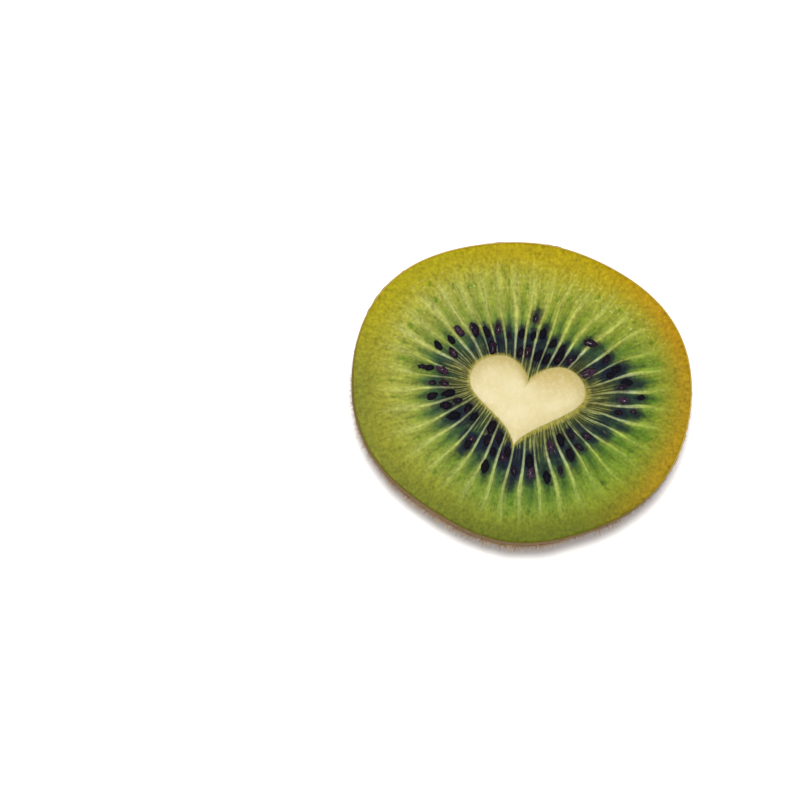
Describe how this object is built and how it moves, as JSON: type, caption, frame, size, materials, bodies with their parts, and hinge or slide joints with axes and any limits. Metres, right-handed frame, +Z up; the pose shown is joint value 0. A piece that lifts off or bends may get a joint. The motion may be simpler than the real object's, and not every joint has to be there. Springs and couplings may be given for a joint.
{
  "type": "half kiwi fruit",
  "caption": "Half a green kiwi fruit lying on its round end with the cut face up: fuzzy brown skin, pale rays, a ring of dark seeds and a heart-shaped cream core.",
  "frame": {"origin": "middle of the small flat spot on the fruit's round end, which is the middle of the bounding box's underside", "axes": "+Z up out of the cut face, along the fruit's axis; +X along the long way of the oval cut face; +Y along its short way, towards the heart's lobes"},
  "size_m": [0.0539, 0.0481, 0.0325],
  "materials": {
    "flesh": "moist translucent green fruit flesh inside a dry brown skin",
    "core": "firm moist cream fruit core"
  },
  "bodies": {
    "root": {"flesh_skin_and_seeds": "flesh", "heart_core": "core"}
  },
  "joints": []
}
